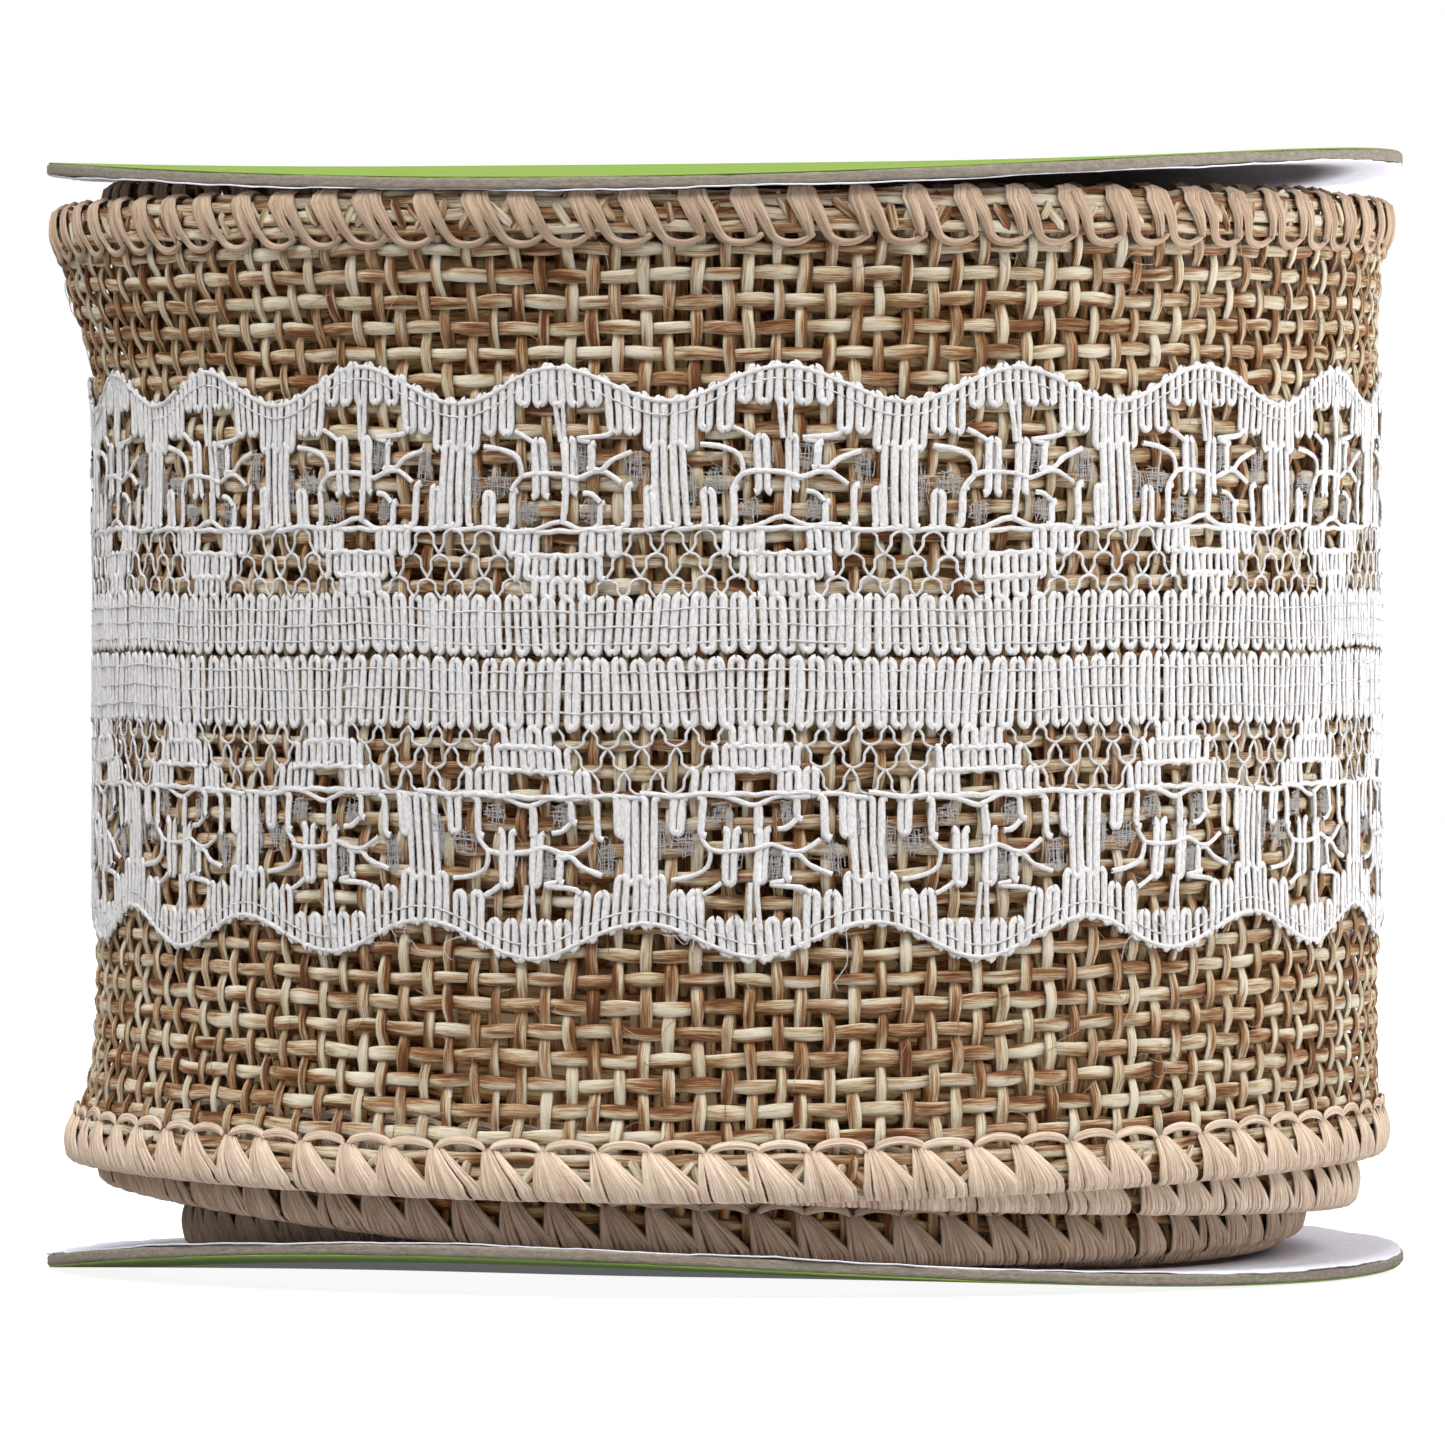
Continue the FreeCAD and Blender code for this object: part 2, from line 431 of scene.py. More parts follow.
def piece_table():
    """Every stretch of the outer strip: name, first angle, last angle, bodies."""
    half = TAIL_STEP / 2
    edges = np.linspace(TIP_ANGLE - 360, HINGES[0] - half, RIGID_SECTORS + 1)
    rows = [
        (f"outer_{k + 1}", edges[k], edges[k + 1], ["outer_turn"]) for k in range(RIGID_SECTORS)
    ]
    bodies = ["outer_turn"] + TAIL_BODIES
    for k, hinge in enumerate(HINGES):
        rows.append((f"tail_{k + 1}", hinge - half, hinge + half, [bodies[k], bodies[k + 1]]))
    rows.append(("tail_tip", HINGES[-1] + half, TIP_ANGLE, [bodies[-1]]))
    return rows


def lay_outer(layer, part, material):
    """Cuts a layer of the outer strip into pieces and winds them on. A piece with one body is tied to it; a piece
    across a hinge is left unattached.
    """
    angle = part["points"][part["faces"]][:, :, 0].mean(axis=1) / MM_PER_DEGREE
    rows = piece_table()
    for number, (name, first, last, bodies) in enumerate(rows):
        low = -math.inf if number == 0 else first
        high = math.inf if number == len(rows) - 1 else last
        stretch = keep_faces(part, (angle >= low) & (angle < high))
        points = wrap(stretch["points"], outer_middle, 0)
        piece = make_object(f"{layer}_{name}", points, stretch["faces"], material, stretch["thread"])
        if len(bodies) == 2:
            ends = np.array([[first * MM_PER_DEGREE, 0, 0], [last * MM_PER_DEGREE, 0, 0]])
            start, end = wrap(ends, outer_middle, 0) * MM
            start[2] = end[2]
            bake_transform(piece)
        else:
            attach(piece, bodies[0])
        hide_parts(f"{bodies[-1]}_{layer}")


# ---- ribbon


def weave(first_angle, last_angle, low, high, rng, sides, steps):
    """Plain weave: columns run up the strip and rows run along it, one over the other in turn."""
    x0, x1 = in_mm(first_angle, last_angle)
    columns = np.arange(math.ceil(x0 / COLUMN), math.floor(x1 / COLUMN) + 1)
    rows = np.arange(math.ceil((low - FIRST_ROW) / ROW), math.floor((high - FIRST_ROW) / ROW) + 1)

    y = np.linspace(low, high, round((high - low) / ROW * steps) + 1)
    over = crimp(y - FIRST_ROW, ROW) * alternate(columns)[:, None]
    x = columns[:, None] * COLUMN + wander(y, rng, len(columns), COLUMN_DRIFT)
    x = x + rng.normal(0, 0.09, (len(columns), 1))
    column_paths = np.stack([x, np.broadcast_to(y, x.shape), over], axis=-1)

    x = np.linspace(x0, x1, round((x1 - x0) / COLUMN * steps) + 1)
    under = -crimp(x, COLUMN) * alternate(rows)[:, None]
    y = FIRST_ROW + rows[:, None] * ROW + wander(x, rng, len(rows), ROW_DRIFT)
    y = np.clip(y, EDGE, STRIP_WIDTH - EDGE)
    row_paths = np.stack([np.broadcast_to(x, y.shape), y, under], axis=-1)

    parts = []
    for paths, (width, thickness) in ((column_paths, COLUMN_YARN), (row_paths, ROW_YARN)):
        count, length, _ = paths.shape
        share = 1 + wander(np.arange(length) * ROW / steps, rng, count, 0.16, (4.0, 9.0, 23.0))
        share = share * rng.normal(1, 0.07, (count, 1)) * (1 + 0.4 * paths[..., 2])
        parts.append(tubes(paths, width * share, thickness, sides, rng, groove=0.25))
    return merge(parts)


def crimp(distance, spacing):
    """The rise and fall of a yarn over its crossings, a little flat at the top."""
    return CRIMP * np.tanh(1.6 * np.cos(np.pi * distance / spacing)) / math.tanh(1.6)


def alternate(numbers):
    """+1 for even numbers and -1 for odd ones."""
    return 1 - 2 * (numbers % 2)


def around_hem(girth):
    """Points and normals around a rounded hem, from the knots over the edge to the inner face."""
    turn = np.clip((girth - HEM_FACE) / HEM_HALF, 0, np.pi)
    past = np.clip(girth - HEM_FACE - np.pi * HEM_HALF, 0, None)
    share = np.clip(girth / HEM_FACE, 0, 1)
    bulge = 0.14 * np.sin(np.pi * share) - 0.3 * (1 - share) ** 2
    y = np.where(girth < HEM_FACE, HEM - girth, HEM_HALF * (1 - np.sin(turn)) + past)
    z = HEM_HALF * np.cos(turn) + bulge - 0.1 * np.clip(-girth, 0, None)
    normal = np.stack([0 * girth, -np.sin(turn), np.cos(turn)], axis=-1)
    return y, z, normal


def lanes(knots, strands):
    """Each strand's place in its bundle, from 0 to 1."""
    return np.tile((np.arange(strands) + 0.5) / strands, len(knots))[:, None]


def each(values, strands):
    """One value for each knot, given to all its strands."""
    return np.repeat(values, strands)[:, None]


def fan(knots, strands, top, foot, curve, rng):
    """Strands that leave each knot, spread over the hem's face and run on around its edge.

    top and foot are the first and last strand's place beside the knot, at the knot and at the
    edge. A curve below 1 makes the strands sweep sideways first and drop later.
    """
    girth = np.linspace(-0.12, FAN_REACH, 15)
    share = np.clip(girth / HEM_FACE, 0, 1)
    lane = lanes(knots, strands)
    lane = lane - 0.05 * np.sin(4 * np.pi * lane) + rng.normal(0, 0.02, (len(lane), 1))
    start = top[0] + (top[1] - top[0]) * lane
    end = foot[0] + (foot[1] - foot[0]) * lane
    end = end * each(rng.normal(1, 0.08, len(knots)), strands)
    end = end + each(rng.normal(0, 0.12, len(knots)), strands)
    beyond = 0.25 * np.clip(girth - HEM_FACE, 0, None)
    x = each(knots, strands) + start + (end - start) * share**curve + beyond
    y, z, normal = around_hem(np.broadcast_to(girth, x.shape))
    dome = 1 - (2 * lane - 1) ** 2
    lay = (0.14 * (1 - share) + 0.05) * dome + rng.uniform(-0.04, 0.0, lane.shape)
    return np.stack([x, y, z], axis=-1) + normal * lay[..., None], normal, 1 + 0.7 * share


def arches(knots, strands, rng):
    """Loops between neighbouring knots, standing up from the hem onto the web."""
    t = np.linspace(0, 1, 11)
    lane = lanes(knots, strands) - 0.5
    rise = each(rng.normal(0.5, 0.06, len(knots)), strands) + 0.12 * lane
    x = each(knots, strands) + STITCH * t
    y = HEM + 0.05 + rise * np.sin(np.pi * t) ** 0.6 + 0.36 * lane
    z = HEM_HALF - 0.2 + 0.08 * np.cos(np.pi * lane) + rng.uniform(-0.02, 0.02, lane.shape) + 0 * x
    return np.stack([x, y, z], axis=-1), np.array([0.0, 0.0, 1.0]), 1.1


def hooks(knots, strands, rng):
    """Bundles that come over the edge beside each knot and swing along to the next one."""
    line = cord(*HOOK_LINE, count=22)
    along = np.gradient(line, axis=0)
    along /= np.linalg.norm(along, axis=1, keepdims=True)
    spread = np.interp(line[:, 0], (-0.4, 1.0, 3.5), (0.95, 0.42, 0.2))
    lane = lanes(knots, strands) - 0.5
    lane = lane + rng.normal(0, 0.03, (len(lane), 1))
    x = each(knots, strands) + line[:, 0] - along[:, 1] * spread * lane
    girth = line[:, 1] + along[:, 0] * spread * lane
    y, z, normal = around_hem(girth)
    lay = 0.1 * np.cos(np.pi * lane) + rng.uniform(-0.03, 0.0, lane.shape)
    return np.stack([x, y, z], axis=-1) + normal * lay[..., None], normal, 1.15


def overlock(first_angle, last_angle, upper, rng, fine=True):
    """Overlock stitching around one hem. The coarse version is for turns that are half hidden."""
    x0, x1 = in_mm(first_angle, last_angle)
    count = int((x1 - x0) / STITCH)
    knots = x0 + (np.arange(count) + 0.3) * STITCH + rng.normal(0, 0.2, count)
    width = 0.17 if fine else 0.26
    sides = 5 if fine else 4
    if upper:
        groups = [
            fan(knots, 10 if fine else 5, (-0.3, 0.15), (-1.5, -0.5), 0.95, rng),
            hooks(knots + 0.15, 10 if fine else 5, rng),
        ]
    else:
        groups = [
            fan(knots, 24 if fine else 13, (-0.5, 0.45), (-0.3, 3.1), 0.92, rng),
            arches(knots, 5 if fine else 3, rng),
        ]
    made = []
    for paths, normal, widening in groups:
        normal = np.broadcast_to(normal, paths.shape).copy()
        if upper:
            paths[..., 1] = STRIP_WIDTH - paths[..., 1]
            normal[..., 1] *= -1
        made.append(tubes(paths, width * widening, 0.75 * width, sides, rng, normals=normal))
    return merge(made)


def fold_yarns(first_angle, last_angle, rng):
    """Cut yarn ends and three yarns along the strip in each hem, seen between the stitches."""
    x0, x1 = in_mm(first_angle, last_angle)
    count = int((x1 - x0) / STITCH * 2.6)
    t = np.linspace(0, 1, 7)
    along = np.linspace(x0, x1, int((x1 - x0) * 2))
    parts = []
    for upper in (False, True):
        x = x0 + (np.arange(count) + rng.uniform(0.1, 0.9, count)) * (x1 - x0) / count
        x = x[:, None] + rng.uniform(-1.5, 1.9, (count, 1)) * t
        y = rng.uniform(0.6, 1.2, (count, 1)) + rng.uniform(1.2, 1.9, (count, 1)) * t
        z = HEM_HALF - rng.uniform(0.2, 0.4, (count, 1)) + 0.1 * np.sin(np.pi * t)
        ends = np.stack([x, y, z], axis=-1)
        y = np.array([[0.95], [1.75], [2.6]]) + wander(along, rng, 3, 0.16)
        z = HEM_HALF - 0.34 + 0.1 * np.sin(along * np.pi / COLUMN) * np.array([[1], [-1], [1]])
        runs = np.stack([np.broadcast_to(along, y.shape), y, z], axis=-1)
        for paths, width in ((ends, 0.6), (runs, 0.75)):
            if upper:
                paths[..., 1] = STRIP_WIDTH - paths[..., 1]
            parts.append(tubes(paths, width, 0.26, 8, rng, groove=0.25))
    return merge(parts)


def stray_fibres(first_angle, last_angle, count, rng):
    """Loose hairs that curl over the web."""
    x0, x1 = in_mm(first_angle, last_angle)
    t = np.linspace(0, 1, 9)
    start_x = rng.uniform(x0, x1, (count, 1))
    start_y = rng.uniform(1, STRIP_WIDTH - 1, (count, 1))
    heading = rng.uniform(0, 2 * np.pi, (count, 1)) + rng.normal(0, 1.2, (count, 1)) * t
    length = rng.uniform(1.0, 3.0, (count, 1))
    x = start_x + length * np.cumsum(np.cos(heading), axis=1) / len(t)
    y = start_y + length * np.cumsum(np.sin(heading), axis=1) / len(t)
    y = np.clip(y, 0.4, STRIP_WIDTH - 0.4)
    z = 0.28 + rng.uniform(0.0, 0.2, (count, 1)) * np.sin(np.pi * t)
    return tubes(np.stack([x, y, z], axis=-1), 0.045, 0.045, 4, rng)


# ---- lace


def legs(start, end, low, high):
    """A serpentine thread between two edges, one path per leg. Edges are functions of x."""
    count = max(1, round((end - start) / LEG))
    half = (end - start) / count / 2
    bend = half * (1 - np.cos(np.radians([0, 30, 60, 90])))
    found = []
    for number in range(count):
        x = start + (2 * number + 1) * half
        up = 1 if number % 2 == 0 else -1
        first_edge, last_edge = (low, high)[::up]
        first, last = first_edge(x - half), last_edge(x + half)
        xs = [x - bend[::-1], [x], x + bend]
        ys = [first + up * bend, [(first + last) / 2], last - up * bend[::-1]]
        found.append(np.stack([np.concatenate(xs), np.concatenate(ys)], axis=1))
    return found


def cord(*points, count=13):
    """A smooth thread through a few points."""
    known = np.array(points, float)
    known = np.vstack([2 * known[0] - known[1], known, 2 * known[-1] - known[-2]])
    spans = len(known) - 3
    found = []
    for t in np.linspace(0, spans - 1e-9, count):
        k = int(t)
        f = t - k
        a, b, c, d = known[k : k + 4]
        squared = (2 * a - 5 * b + 4 * c - d) * f**2
        cubed = (3 * b - a - 3 * c + d) * f**3
        found.append(0.5 * (2 * b + (c - a) * f + squared + cubed))
    return np.array(found)


def cords_along(line, step):
    """A long line as several cords, each a number of steps long."""
    return [cord(*line[k : k + step + 1]) for k in range(0, len(line) - 1, step)]


def scallop(x):
    """The lace's outer edge over one period: a soft wave, highest in the middle."""
    return 16.8 + 1.1 * np.cos(2 * np.pi * x / PERIOD)


def border_foot(x):
    """The inner edge of the scalloped border, stepping down away from the peak."""
    x = abs(x)
    if x < 2.8:
        return 15.5
    return 13.75 if x < 4.95 else 12.7


def net_cell(x, low, high):
    """One cell of the open net: a thread that rises, arches over and comes down again."""
    half = PERIOD / 14
    return cord(
        (x - half, low),
        (x - 0.62 * half, low + 0.4 * (high - low)),
        (x - 0.6 * half, high - 0.25 * (high - low)),
        (x, high),
        (x + 0.6 * half, high - 0.25 * (high - low)),
        (x + 0.62 * half, low + 0.4 * (high - low)),
        (x + half, low),
    )


def net_threads():
    """Three net rows, with a block of filled columns that narrows towards the band."""
    edges = PERIOD / 2
    fills = [(-1.75, 1.75)], [(-2.9, 2.9)], [(-4.1, -1.3), (1.3, 4.1)]
    columns, net, ties = [], [], []
    for row, spans in enumerate(fills):
        low, high = NET_ROWS[row], NET_ROWS[row + 1]
        for first, last in spans:
            columns += legs(first, last, even(low), even(high))
        outer = max(last for _, last in spans)
        for number in range(7):
            x = -edges + (number + 0.5 * (row % 2)) * PERIOD / 7
            if abs(x) > outer + 0.5 and abs(x) < edges + 0.6:
                net.append(net_cell(x, low, high))
        places = np.linspace(-outer, outer, 9)
        ties.append(cord(*[(x, high + 0.07 * (-1) ** k) for k, x in enumerate(places)]))
    return columns, net, ties


def flower_threads():
    """The motif in the middle of each scallop: columns, curls and the thread across."""
    columns = legs(-1.95, -0.85, even(9.9), even(13.3))
    columns += legs(0.0, 0.95, even(10.0), even(13.3))
    columns += legs(1.7, 2.3, even(11.4), even(13.1))
    for first, last, low, high in (
        (-5.35, -4.3, 7.9, 10.1),
        (-3.6, -2.9, 7.9, 10.3),
        (2.3, 2.95, 7.9, 9.4),
        (4.0, 4.75, 7.9, 10.5),
        (5.4, 6.3, 7.9, 10.3),
    ):
        columns += legs(first, last, even(low), even(high))
    cords = [
        cord((-0.25, 16.1), (-0.15, 14.6), (-0.05, 13.2)),
        cord((0.4, 16.1), (0.32, 14.6), (0.25, 13.2)),
        cord((0.15, 10.2), (0.12, 9.2), (0.1, 8.3)),
        cord((0.3, 10.2), (0.3, 9.2), (0.2, 8.3)),
        cord((2.1, 11.5), (2.7, 11.5), (3.4, 12.1), (4.7, 12.6)),
        cord((-5.1, 12.9), (-3.8, 12.7), (-2.8, 12.2), (-2.6, 11.2), (-3.0, 10.7), (-3.3, 10.2)),
        cord((-2.7, 11.1), (-1.8, 11.3), (0.0, 11.2), (1.0, 10.9), (2.0, 11.3), (2.9, 11.3), (4.0, 10.6)),
        cord((1.9, 13.1), (1.1, 13.3), (2.9, 13.5), (3.4, 13.8)),
        cord((-1.8, 13.2), (-2.4, 13.6), (-3.0, 13.9)),
        cord((1.4, 10.0), (2.0, 9.9), (2.6, 9.4)),
    ]
    x = np.linspace(-PERIOD / 2, PERIOD / 2, 25)
    y = 7.8 + 0.1 * np.sin(9 * x) + 0.6 * np.exp(-((x / 1.1) ** 2))
    return columns, cords + cords_along(np.stack([x, y], axis=1), 6)


def border_threads():
    """The scalloped border with the dense bars under each notch, its outline and its inlay."""
    half = PERIOD / 2
    columns = legs(-half, half, border_foot, scallop)
    columns += legs(-half, -half + 2 * LEG, even(7.9), even(13.1))
    columns += legs(half - 2 * LEG, half, even(7.9), even(13.1))
    lines = []
    for inset in (0.14, 0.95):
        x = np.linspace(-half, half, 17)
        lines.append(cords_along(np.stack([x, scallop(x) - inset], axis=1), 4))
    return columns, *lines


def band_threads():
    """The dense straight band beside the middle line, with faint threads laid along it."""
    half = PERIOD / 2
    columns = legs(-half, half, even(0.22), even(BAND))
    inlay = []
    x = np.linspace(-half, half, 9)
    for height in (0.8, 1.8, 2.8):
        y = height + 0.05 * np.sin(5 * x + height)
        inlay += cords_along(np.stack([x, y], axis=1), 2)
    return columns, inlay


def veil_threads(rng):
    """Patches of hair-fine net in the flower's windows."""
    found = []
    for x, y, half_width, half_height in VEIL_PATCHES:
        for lane in np.linspace(-1, 1, 13):
            shake = rng.normal(0, 0.06, (3, 2))
            reach = np.array([-1, 0, 1]) * math.sqrt(1 - 0.8 * lane * lane)
            same = lane + 0 * reach
            across = np.stack([x + half_width * reach, y + half_height * same], axis=1)
            upright = np.stack([x + half_width * same, y + half_height * reach], axis=1)
            found += [cord(*(line + shake), count=5) for line in (across, upright)]
    return found


def lace_drift(x, y, upper):
    """How the lace was stretched when it was sewn on: slow waves and small local ones."""
    angle = np.radians(x / MM_PER_DEGREE)
    slow = -1.3 * MM_PER_DEGREE * np.cos(2 * angle - 0.17) if upper else 0.0
    across = slow + 0.018 * x + 0.12 * np.sin(x / 5.3 + y / 3.1) + 0.09 * np.sin(x / 2.1 - y / 1.7)
    up = -0.15 - 0.35 * np.sin(angle) ** 2 - 0.12 * np.sin(angle)
    up = up + 0.1 * np.sin(x / 4.1 + 1) + 0.05 * np.sin(x / 1.9 + y / 2)
    return across, up


def stray_loops(first_angle, last_angle, rng):
    """A few loose lace hairs that hang below the lower scallops."""
    x0, x1 = in_mm(first_angle, last_angle)
    paths = []
    for start in rng.uniform(x0, x1, 26):
        y = LACE_MIDDLE - 17.2
        turns = np.cumsum(rng.normal(0, 0.7, (6, 2)) + (0.1, -0.35), axis=0) * 0.6
        line = cord((start, y), *(np.array((start, y)) + turns), count=15)
        paths.append(np.column_stack([line, 0.5 + 0.35 * np.sin(np.linspace(0, 3, 15))]))
    return tubes(np.array(paths), 0.06, 0.06, 4, rng)


def lace_threads(rng):
    """One period of the pattern, as kinds of thread.

    Each kind has its width, thickness, sides, unevenness and height over the others.
    """
    net_columns, net, ties = net_threads()
    flower_columns, flower_cords = flower_threads()
    border_columns, outline, border_inlay = border_threads()
    band_columns, inlay = band_threads()
    columns = band_columns + net_columns + border_columns + flower_columns
    return [
        (columns, 0.5, 0.22, 6, 0.03, 0.0),
        (flower_cords + ties, 0.34, 0.24, 6, 0.04, 0.03),
        (outline, 0.34, 0.26, 5, 0.03, 0.02),
        (net, 0.21, 0.16, 5, 0.04, 0.0),
        (inlay + border_inlay, 0.13, 0.1, 4, 0.03, 0.08),
        (veil_threads(rng), 0.06, 0.03, 3, 0.14, 0.0),
    ]


def repeated(threads, x0, x1, upper, shake, lift, rng):
    """One half of the pattern's threads, repeated along the strip between two places."""
    phase = UPPER_PHASE if upper else LOWER_PHASE
    periods = np.arange(math.floor((x0 - phase) / PERIOD), math.ceil((x1 - phase) / PERIOD) + 1)
    pattern = np.array(threads)
    x = pattern[..., 0] + phase + periods[:, None, None] * PERIOD
    y = np.broadcast_to(pattern[..., 1], x.shape)
    if not upper:
        y = y + LOWER_EXTRA * np.clip(y / BAND, 0, 1)
    x = x.reshape(-1, pattern.shape[1])
    x = x + rng.normal(0, shake, (len(x), 1))
    y = y.reshape(x.shape) + rng.normal(0, shake, (len(x), 1))
    z = LACE_LIFT + lift + rng.normal(0, 0.03, (len(x), 1)) + 0.03 * np.sin(x * 2.3 + y * 1.9)
    across, up = lace_drift(x, y, upper)
    x = x + across
    inside = (x.mean(axis=1) > x0) & (x.mean(axis=1) < x1)
    side = 1 if upper else -1
    return np.stack([x, LACE_MIDDLE + 1.02 * side * y + up, z], axis=-1)[inside]


def lace(first_angle, last_angle, rng):
    """The whole lace: both halves of the pattern, repeated along the strip."""
    x0, x1 = in_mm(first_angle, last_angle)
    kinds = lace_threads(rng)
    parts = [stray_loops(first_angle, last_angle, rng)]
    for upper in (True, False):
        for threads, width, thickness, sides, shake, lift in kinds:
            paths = repeated(threads, x0, x1, upper, shake, lift, rng)
            share = rng.normal(1, 0.06, (len(paths), 1)) * rng.normal(1, 0.07, paths.shape[:2])
            parts.append(tubes(paths, width * share, thickness, sides, rng, closed_ends=False))
    return merge(parts)


# ---- materials


BLACK = (0, 0, 0)
WHITE = (255, 255, 255)


def linear(colour, tint=(1, 1, 1)):
    """A screen colour, from 0 to 255, as Blender's linear colour."""
    values = [c * share / 255 for c, share in zip(colour, tint)]
    values = [c / 12.92 if c <= 0.04045 else ((c + 0.055) / 1.055) ** 2.4 for c in values]
    return (*values, 1.0)


class Nodes:
    """Short names for building a node material."""

    def __init__(self, name, roughness):
        self.material = bpy.data.materials.new(name)
        self.material.use_nodes = True
        self.tree = self.material.node_tree
        self.shader = self.tree.nodes["Principled BSDF"]
        self.shader.inputs["Roughness"].default_value = roughness
        self.shader.inputs["Specular IOR Level"].default_value = 0.3

    def node(self, kind, inputs=(), **settings):
        made = self.tree.nodes.new(kind)
        for key, value in settings.items():
            setattr(made, key, value)
        for key, value in dict(inputs).items():
            self.put(made.inputs[key], value)
        return made

    def put(self, socket, value):
        if isinstance(value, bpy.types.NodeSocket):
            self.tree.links.new(value, socket)
        else:
            socket.default_value = value

    def math(self, operation, a, b=0.0):
        return self.node("ShaderNodeMath", {0: a, 1: b}, operation=operation).outputs[0]

    def noise(self, vector, scale, detail=3.0, roughness=0.6):
        inputs = {"Vector": vector, "Scale": scale, "Detail": detail, "Roughness": roughness}
        return self.node("ShaderNodeTexNoise", inputs).outputs["Fac"]

    def stretched(self, vector, factors):
        inputs = {0: vector, 1: factors}
        return self.node("ShaderNodeVectorMath", inputs, operation="MULTIPLY").outputs[0]

    def split(self, vector):
        return self.node("ShaderNodeSeparateXYZ", {0: vector}).outputs

    def thread(self):
        """The along, across and seed values that tubes() stores on each mesh."""
        return self.node("ShaderNodeAttribute", attribute_name="thread").outputs["Vector"]

    def millimetres(self):
        """The mesh's own coordinates, in millimetres."""
        place = self.node("ShaderNodeTexCoord").outputs["Object"]
        return self.stretched(place, (1 / MM, 1 / MM, 1 / MM))

    def ramp(self, factor, *stops, tint=(1, 1, 1), interpolation="LINEAR"):
        """A colour from a number, through stops of a place and a screen colour."""
        made = self.node("ShaderNodeValToRGB", {"Fac": factor})
        made.color_ramp.interpolation = interpolation
        elements = made.color_ramp.elements
        while len(elements) < len(stops):
            elements.new(0.5)
        for element, (place, colour) in zip(elements, stops):
            element.position = place
            element.color = linear(colour, tint)
        return made.outputs["Color"]

    def mix(self, factor, a, b, blend="MIX"):
        made = self.node("ShaderNodeMix", data_type="RGBA", blend_type=blend)
        for index, value in ((0, factor), (6, a), (7, b)):
            self.put(made.inputs[index], value)
        return made.outputs[2]

    def finish(self, colour, height=None, strength=0.3, distance=0.0002):
        self.put(self.shader.inputs["Base Color"], colour)
        if height is not None:
            inputs = {"Height": height, "Strength": strength, "Distance": distance}
            bump = self.node("ShaderNodeBump", inputs)
            self.put(self.shader.inputs["Normal"], bump.outputs["Normal"])
        return self.material


def burlap_material(name, tint):
    """Jute-look yarn: streaks of cream, tan and dark brown fibre lying along each yarn."""
    nodes = Nodes(name, 0.8)
    thread = nodes.thread()
    streak = nodes.noise(nodes.stretched(thread, (0.15, 0.55, 91.0)), 1.0, 3.0, 0.55)
    hair = nodes.noise(nodes.stretched(thread, (0.5, 8.0, 91.0)), 1.0, 5.0, 0.8)
    tone = nodes.math("ADD", streak, nodes.math("MULTIPLY", nodes.math("SUBTRACT", hair, 0.5), 0.7))
    stops = (
        (0.34, (104, 60, 28)),
        (0.42, (156, 106, 64)),
        (0.49, (196, 160, 122)),
        (0.55, (224, 208, 176)),
        (0.66, (246, 236, 214)),
    )
    # A tint other than 1 gives the warmer, darker copy, which carries painted shade for the inner turns.
    return nodes.finish(nodes.ramp(tone, *stops, tint=tint), hair, 1.0, 0.00022)


def thread_material(name, tint):
    """Overlock thread: matt tan with fine fibre streaks."""
    nodes = Nodes(name, 0.75)
    thread = nodes.thread()
    hair = nodes.noise(nodes.stretched(thread, (0.9, 2.5, 77.0)), 1.0, 4.0, 0.65)
    seed = nodes.split(thread)[2]
    tone = nodes.math("ADD", hair, nodes.math("MULTIPLY", nodes.math("SUBTRACT", seed, 0.5), 0.25))
    stops = ((0.25, (166, 140, 118)), (0.50, (205, 182, 160)), (0.75, (234, 217, 198)))
    # A tint below 1 gives the darker copy of the thread, which carries painted shade.
    return nodes.finish(nodes.ramp(tone, *stops, tint=tint), hair, 0.6, 0.0001)


def lace_material():
    """White knitted thread."""
    nodes = Nodes("lace_thread", 0.65)
    hair = nodes.noise(nodes.stretched(nodes.thread(), (3.2, 2.2, 53.0)), 1.0, 3.0, 0.6)
    colour = nodes.ramp(hair, (0.3, (190, 187, 186)), (0.62, (222, 220, 220)))
    return nodes.finish(colour, hair, 0.9, 0.00012)


def board_material():
    """Grey chipboard: mottled fibre with darker specks and pale torn fibres."""
    nodes = Nodes("grey_board", 0.9)
    place = nodes.millimetres()
    mottle = nodes.noise(nodes.stretched(place, (1, 1, 3)), 1.6, 6.0, 0.75)
    speck = nodes.noise(place, 7.0, 3.0, 0.6)
    base = nodes.ramp(mottle, (0.3, (112, 103, 90)), (0.7, (154, 145, 132)))
    light = nodes.ramp(speck, (0.62, BLACK), (0.72, WHITE))
    colour = nodes.mix(nodes.math("MULTIPLY", light, 0.35), base, linear((205, 198, 186)))
    return nodes.finish(colour, mottle, 0.5, 0.0003)


def label_material(name, band):
    """Printed label: a pale field with thin rings inside a green band. No lettering.

    band is where the green starts, as a share of the disc's radius.
    """
    nodes = Nodes(name, 0.45)
    place = nodes.millimetres()
    x, y, _ = nodes.split(place)
    squares = nodes.math("ADD", nodes.math("MULTIPLY", x, x), nodes.math("MULTIPLY", y, y))
    radius = nodes.math("DIVIDE", nodes.math("SQRT", squares), DISC_RADIUS)
    green, pale, leaf = (134, 164, 68), (226, 230, 228), (198, 220, 150)
    stops = (
        (0.0, green),
        (0.31, pale),
        (0.34, leaf),
        (0.36, pale),
        (band - 0.05, leaf),
        (band - 0.03, pale),
        (band, green),
    )
    rings = nodes.ramp(radius, *stops, interpolation="CONSTANT")
    grain = nodes.noise(place, 3.0, 4.0)
    shade = nodes.ramp(grain, (0.3, (247, 247, 247)), (0.7, WHITE))
    return nodes.finish(nodes.mix(1.0, rings, shade, "MULTIPLY"), grain, 0.08, 0.0001)


